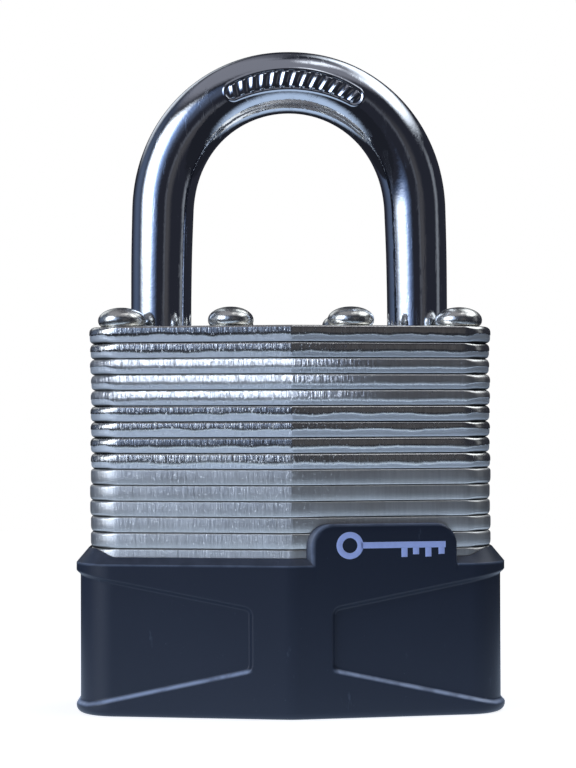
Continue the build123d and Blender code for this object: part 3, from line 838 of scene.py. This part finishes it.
def recessDepth(x, z, low, high):
    # Distance inside a bow-tie half with rounded corners, eased over the ledge's width.
    radius = cup["round"]
    slope = math.cos(math.atan((cup["innerZ"][0] - cup["outerZ"][0])
                               / (cup["outerX"] - cup["innerX"])))
    inner = np.abs(x) - cup["innerX"]
    edge = np.minimum(z - low, high - z) * slope
    qx, qz = np.maximum(radius - inner, 0), np.maximum(radius - edge, 0)
    inside = np.where((qx > 0) & (qz > 0), radius - np.hypot(qx, qz), np.minimum(inner, edge))
    return cup["recess"] * smooth(inside / cup["ledge"])


def makeBumper():
    # One closed sheet: round the key window, under the base, up the outer wall with its
    # recess, over the rim or the tab, down the inner wall and back across the floor.
    outer = lockOutline(cup["width"], cup["depth"], cup["corner"], cup["ridge"])
    grown = 2 * cup["gap"]
    inner = lockOutline(lock["width"] + grown, lock["depth"] + grown,
                        lock["corner"] + cup["gap"], lock["ridge"])
    base = spread(cup["columns"] * 2)
    ledgeX = cup["innerX"] + np.linspace(*cup["ledgeSteps"])
    left, right = cup["tabX"]
    bends = np.array(cup["tabSteps"])
    tabs = np.concatenate([left + bends, right - bends, [left - 0.01, right + 0.01]])
    extra = [atX(outer, tabs)]
    for front in (True, False):
        for rightSide in (True, False):
            extra.append(atX(outer, ledgeX, front, rightSide))
    parameter = np.unique(np.round(np.concatenate([base, *extra]), 7))
    keep = np.ones(len(parameter), bool)
    keep[1:] = np.diff(parameter) > 1e-4
    parameter = parameter[keep]
    place, normal = outer(parameter)
    within, _ = inner(parameter)
    x = place[:, 0]
    front = place[:, 1] < 0
    isTab = front & (x >= left) & (x <= right)

    share = (np.clip(np.abs(x), cup["innerX"], None) - cup["innerX"]) / (
        cup["outerX"] - cup["innerX"])
    low = np.maximum(mix(cup["innerZ"][0], cup["outerZ"][0], share), cup["under"] + 0.15)
    high = mix(cup["innerZ"][1], cup["outerZ"][1], share)
    rows, worn, under = [], [], cup["under"]
    angle = np.arctan2(place[:, 1], place[:, 0])
    window = cup["windowRadius"] * np.stack([np.cos(angle), np.sin(angle)], -1)

    # The last argument of row and outside is the share of painted highlight given to the row's
    # points.
    def row(xy, z, rubsAndPaintedSheen=0):
        rows.append(np.concatenate([xy, (z + 0 * x)[:, None]], -1))
        worn.append(rubsAndPaintedSheen + 0 * x)

    def outside(inset, z, rubsAndPaintedSheen=0):
        row(place - (inset + 0 * x)[:, None] * normal, z, rubsAndPaintedSheen)

    row(window, 0.25)
    row(window * (1 + 0.25 / cup["windowRadius"]), 0)
    for t in np.radians(np.linspace(0, 90, 9)):
        outside(under * (1 - math.sin(t)), under * (1 - math.cos(t)))
    ledge = cup["ledge"] * 1.1
    first, count = cup["ledgeRows"]
    near = np.linspace(first, ledge, count)
    further = ledge + np.array(cup["panelRows"])
    levels = [mix(under, low + first, 0.5)] + [low + d for d in (*near, *further)]
    levels += [mix(low + further[-1], high - further[-1], f) for f in np.linspace(0.1, 0.9, 9)]
    levels += [high - d for d in (*further[::-1], *near[::-1])]
    underRim = cup["rim"] - 0.25
    levels += [mix(high - first, underRim, 0.5), underRim]
    # Painted highlight: the upward lower ledge of each recess gets a pale colour, where light from
    # above falls on it.
    inRecess = smooth((np.abs(x) - cup["innerX"]) / cup["round"])
    for z in levels:
        onLedge = smooth(1 - np.abs(z - low - 0.42 * ledge) / (0.5 * ledge))
        outside(recessDepth(x, z, low, high), z, onLedge * inRecess)
    ends = smooth((np.abs(normal[:, 0]) - 0.25) / 0.6)
    bevelTop = cup["rim"] + mix(cup["bevel"], cup["endBevel"], ends)
    thick = np.linalg.norm(place - within, axis=1)
    toward = (place - within) / thick[:, None]
    flatTop = tabHeight(np.clip(x, left, right))
    for f in cup["rimRows"]:
        bevelIn = thick * (0.92 * f)
        bevelZ = mix(cup["rim"], bevelTop, f)
        tabZ = mix(cup["rim"], flatTop, f)
        inset = np.where(isTab, tabInset(x, tabZ), bevelIn)
        z = np.where(isTab, tabZ, bevelZ)
        # Painted highlight: a faint pale share lies over the rim's bevel, with more on its lowest
        # row, and a pale line runs round the tab's cut edge.
        rubsAndPaintedSheen = np.where(isTab, 0.4 * tabInset(x, tabZ) / cup["tabEdge"], 0.08 + 0.2 * (f < 0.05))
        row(place - np.minimum(inset, thick * 0.95)[:, None] * toward, z, rubsAndPaintedSheen)
    topZ = np.where(isTab, flatTop, bevelTop)
    row(within, topZ)
    row(within, mix(topZ, cup["floor"], 0.3))
    row(within, cup["floor"])
    row(window, cup["floor"])
    rings = np.array(rows)
    points = rings.reshape(-1, 3)
    bumper = putMesh("mouldedBumper", points, gridQuads(*rings.shape[:2], closeRows=True),
                     None, {"worn": np.concatenate(worn)}, 32.0)
    material, wire = newMaterial("bumperPlastic")
    spot = objectPlace(wire)
    cloud = spot.noise(0.06, 3.0)
    grain = spot.noise(5.0, 3.0, 0.6)
    scuffs = spot.noise(0.5, 4.0, 0.7, (1, 1, 0.35)).between(0.66, 0.74)
    dust = spot.noise(3.0, 1.0).between(0.78, 0.82)
    colour = cloud.blend(*cup["tone"])
    colour = (scuffs * 0.25 + dust * 0.3).blend(colour, cup["scuffed"])
    # Painted highlight: pale blue on the rows given a share above, broken up by noise.
    paintedHighlight = field(wire, "worn") * (0.55 + 0.45 * spot.noise(0.5, 3.0).between(0.3, 0.6))
    colour = paintedHighlight.blend(colour, cup["paintedHighlight"])
    roughness = 0.40 + (grain - 0.5) * 0.10 + cloud * 0.05 + scuffs * 0.12 - paintedHighlight * 0.10
    normal = bump(wire, grain + cloud * 0.6, 0.012)
    finishMaterial(wire, {"Base Color": colour, "Roughness": roughness, "Normal": normal,
                          "Specular IOR Level": cup["gleam"]})
    bumper.data.materials.append(material)
    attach(bumper, "lock_body")
    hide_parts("bumper")


sign = dict(
    x=(5.6, 18.4), z=20.55, bowRadius=1.25, bowWidth=0.72, stroke=0.74, proud=0.025,
    teeth=((13.4, 1.45), (14.8, 1.15), (16.3, 1.45), (17.9, 1.15)), toothWidth=0.74, sunk=0.15,
    ink=((0.36, 0.43, 0.74), (0.46, 0.54, 0.88)),
)


def slab(line, half):
    # A thin closed strip: a flat bar's section carried along a line on the tab's face.
    tangent = np.gradient(line, axis=0)
    tangent /= np.linalg.norm(tangent, axis=1, keepdims=True)
    across = np.stack([-tangent[:, 1], tangent[:, 0]], -1)
    flank = math.tan(math.radians(lock["flankAngle"]))
    lift, sunk = sign["proud"], sign["sunk"]
    corners = ((-half, -sunk), (half, -sunk), (half, lift * 0.6), (half * 0.94, lift),
               (-half * 0.94, lift), (-half, lift * 0.6))
    rings = []
    for side, out in corners:
        xz = line + across * side
        y = -cup["depth"] / 2 + xz[:, 0] * flank - out
        rings.append(np.stack([xz[:, 0], y, xz[:, 1]], -1))
    return np.array(rings).transpose(1, 0, 2)


def makeSign():
    # A key as one colour of ink: a ring for its bow, a bar for its shank, and four teeth.
    startX, endX = sign["x"]
    bow = sign["bowRadius"]
    turn = np.linspace(0, 2 * math.pi, 73)
    bowX = startX + bow
    ring = np.stack([bowX + bow * np.cos(turn), sign["z"] + bow * np.sin(turn)], -1)
    shank = np.stack([np.linspace(bowX + bow + 0.1, endX, 24), np.full(24, sign["z"])], -1)
    solids = [slab(ring, sign["bowWidth"] / 2), slab(shank, sign["stroke"] / 2)]
    for x, drop in sign["teeth"]:
        z = np.linspace(sign["z"] - sign["stroke"] / 2 + 0.05, sign["z"] - drop, 6)
        solids.append(slab(np.stack([np.full(6, x), z], -1), sign["toothWidth"] / 2))
    inked = joinSolids("tabPrint", solids, None, 30.0)
    material, wire = newMaterial("paleInk")
    place = objectPlace(wire)
    wear = place.noise(2.5, 3.0, 0.6)
    finishMaterial(wire, {"Base Color": wear.blend(*sign["ink"]),
                          "Roughness": 0.45 + wear * 0.1, "Normal": bump(wire, wear, 0.006)})
    inked.data.materials.append(material)
    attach(inked, "lock_body")


# The finishes of the works, which keep their CAD shapes.
worksLook = dict(
    lockBrass=dict(low=(0.50, 0.33, 0.12), high=(0.70, 0.50, 0.21), rough=0.24, lines=1.6),
    worksSteel=dict(low=(0.38, 0.38, 0.37), high=(0.56, 0.56, 0.54), rough=0.30, lines=1.2),
    springSteel=dict(low=(0.42, 0.42, 0.43), high=(0.62, 0.62, 0.62), rough=0.20, lines=3.0),
)


def metal(name, low, high, rough, lines):
    # Machined metal: turning lines, a slow change of tone and small pits.
    material, wire = newMaterial(name)
    place = objectPlace(wire)
    tone = place.noise(0.25, 3.0)
    turned = place.noise(lines, 3.0, 0.6, (0.3, 0.3, 2.0))
    pits = place.noise(3.0, 3.0, 0.6).between(0.64, 0.76)
    colour = (tone * 0.7 + turned * 0.3).blend(low, high)
    roughness = rough + (turned - 0.5) * 0.14 + pits * 0.2
    normal = bump(wire, turned + pits * 0.3, 0.010)
    finishMaterial(wire, {"Base Color": colour, "Metallic": 1.0, "Roughness": roughness,
                          "Normal": normal})
    return material


springLook = dict(wire=0.26, turns=4, travel=1.0, around=10, along=96)


def makePinSprings(material):
    # The wound wires behind the driver pins, each as long as the CAD spring that it replaces; the
    # real springs shorten as the pins are pushed out.
    s = springLook
    turn = np.linspace(0, 2 * math.pi, s["around"], endpoint=False)
    along = np.linspace(0, 1, s["along"] + 1)[:, None]
    angle = 2 * math.pi * s["turns"] * along
    for number in range(1, 5):
        low, high = (np.array(corner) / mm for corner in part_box(f"pin_spring_{number}"))
        middle, length = (low + high) / 2, high[1] - low[1]
        coil = (high[0] - low[0] - s["wire"]) / 2
        out = coil + s["wire"] / 2 * np.cos(turn)
        x = middle[0] + out * np.cos(angle)
        y = low[1] + s["wire"] / 2 * (1 + np.sin(turn)) + along * (length - s["wire"])
        z = middle[2] + out * np.sin(angle)
        spring = joinSolids(f"pinSpring{number}", [np.stack([x, y, z], -1)])
        spring.data.materials.append(material)
        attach(spring, "lock_body")
        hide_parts(f"pin_spring_{number}")
        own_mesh(spring)


def paintWorks():
    # Each node that no piece replaces takes the finish of what it is made of.
    made = {name: metal(name, **values) for name, values in worksLook.items()}
    makePinSprings(made["springSteel"])
    made["plate"] = steelEdge(20, *plainEdge[2:], True)
    for name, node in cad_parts.items():
        if node.hide_render:
            continue
        if "_plate" in name:
            chosen = made["plate"]
        elif "spring" in name:
            chosen = made["springSteel"]
        elif name in ("cylinder_housing", "plug", "pin_chamber_cover") or "_pin_" in name:
            chosen = made["lockBrass"]
        else:
            chosen = made["worksSteel"]
        if len(node.material_slots) == 0:
            node.data.materials.append(chosen)
        for materialSlot in node.material_slots:
            materialSlot.material = chosen


makeCamera()
makeWorld()
makeFloor()
print("camera, light and floor are in place")
for layer in range(1, plateLook["shown"] + 1):
    makePlate(layer)
print("plates are made")
makeRivets()
makeShackle()
print("rivets and shackle are made")
makeBumper()
makeSign()
print("bumper and its sign are made")
paintWorks()
print("the works have their finishes")
